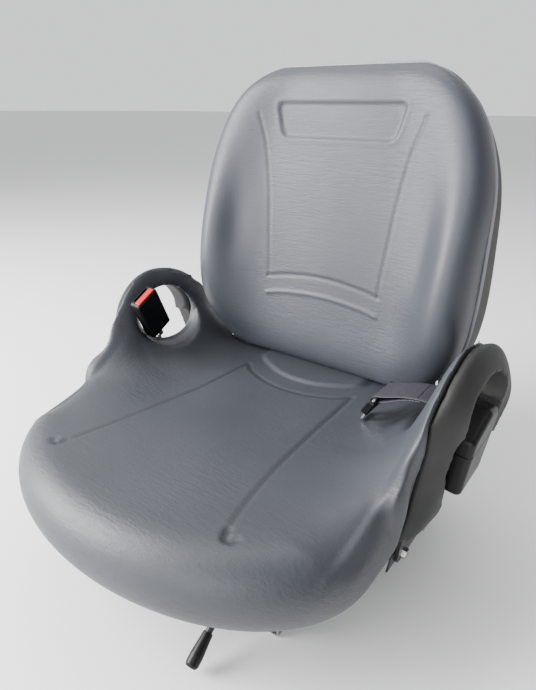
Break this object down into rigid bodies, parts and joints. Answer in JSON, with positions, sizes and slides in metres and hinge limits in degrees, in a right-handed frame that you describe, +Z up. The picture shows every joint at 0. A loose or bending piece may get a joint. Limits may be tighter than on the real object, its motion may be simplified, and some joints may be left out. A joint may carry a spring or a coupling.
{
  "type": "tractor seat",
  "caption": "Operator seat with hip wings, oval wing windows, lap belt, reclining padded back and lockable fore-and-aft slide rails that bolt to the machine.",
  "frame": {"origin": "Middle of the four mounting holes, on the underside of the lower slide rails.", "axes": "+Z up, -Y to the front of the seat, +X to the side of the belt retractor."},
  "size_m": [0.5552, 0.5439, 0.5956],
  "materials": {
    "grey_vinyl": "soft satin grain",
    "piping_vinyl": "satin",
    "shell_plastic": "fine moulded texture",
    "cover_plastic": "fine moulded texture",
    "black_plastic": "satin",
    "red_plastic": "gloss",
    "nylon": "natural",
    "webbing": "woven",
    "board": "bare plywood",
    "black_steel": "satin",
    "zinc_steel": "zinc plated",
    "bolt_steel": "zinc plated",
    "bright_steel": "bright"
  },
  "bodies": {
    "base": {"lower_rail_left": "zinc_steel", "lower_rail_right": "zinc_steel"},
    "backrest": {"back_arm_left": "black_steel", "back_arm_right": "black_steel", "back_arm_bolts": "bolt_steel", "backrest_board": "board", "backrest_cushion": "grey_vinyl", "backrest_piping": "piping_vinyl", "rear_cover": "cover_plastic", "cover_screws": "bolt_steel"},
    "slide_lever": {"slide_lever": "black_steel", "lever_grip": "black_plastic"},
    "recline_lever": {"recline_pawl": "bolt_steel", "recline_handle": "black_plastic"},
    "buckle": {"buckle_stalk": "bolt_steel", "buckle_cover": "black_plastic"},
    "button": {"buckle_button": "red_plastic"},
    "seat": {"belt_webbing": "webbing", "buckle_bolt": "bolt_steel", "hinge_bolts": "bolt_steel", "hinge_bracket_bolts": "bolt_steel", "hinge_bracket_left": "black_steel", "hinge_bracket_right": "black_steel", "hip_frame_bolts": "bolt_steel", "hip_frame_left": "black_steel", "hip_frame_right": "black_steel", "hip_shell_left": "shell_plastic", "hip_shell_right": "shell_plastic", "latch_tongue": "bright_steel", "lever_bracket": "black_steel", "lever_pin": "bolt_steel", "rail_bolts": "bolt_steel", "rail_glides": "nylon", "retractor_bolt": "bolt_steel", "retractor_cover": "black_plastic", "retractor_frame": "black_steel", "retractor_spool": "webbing", "seat_cushion": "grey_vinyl", "seat_pan": "black_steel", "tongue_cover": "black_plastic", "upper_rail_left": "zinc_steel", "upper_rail_right": "zinc_steel"}
  },
  "joints": [
    {"name": "seat_slide", "type": "slide", "parent": "base", "child": "seat", "axis": [0, -1, 0], "range_m": [-0.06, 0.06]},
    {"name": "backrest_recline", "type": "hinge", "parent": "seat", "child": "backrest", "pos_m": [0, 0.199, 0.15], "axis": [-1, 0, 0], "range_deg": [0, 14]},
    {"name": "slide_lever_lift", "type": "hinge", "parent": "seat", "child": "slide_lever", "pos_m": [0.098, -0.047, 0.046], "axis": [-1, 0, 0], "range_deg": [0, 6], "stiffness_Nm_per_rad": 6, "springref_deg": -2.86},
    {"name": "recline_lever_lift", "type": "hinge", "parent": "seat", "child": "recline_lever", "pos_m": [-0.214, 0.168, 0.102], "axis": [-1, 0, 0], "range_deg": [0, 12], "stiffness_Nm_per_rad": 4, "springref_deg": -5.73},
    {"name": "buckle_swing", "type": "hinge", "parent": "seat", "child": "buckle", "pos_m": [-0.23755, 0.062, 0.1716], "axis": [-0.994, 0, -0.1093], "range_deg": [0, 12]},
    {"name": "button_press", "type": "slide", "parent": "buckle", "child": "button", "axis": [-0.1426, 0.4772, -0.8671], "range_m": [0, 0.005], "stiffness_N_per_m": 800, "springref_m": -0.002}
  ]
}
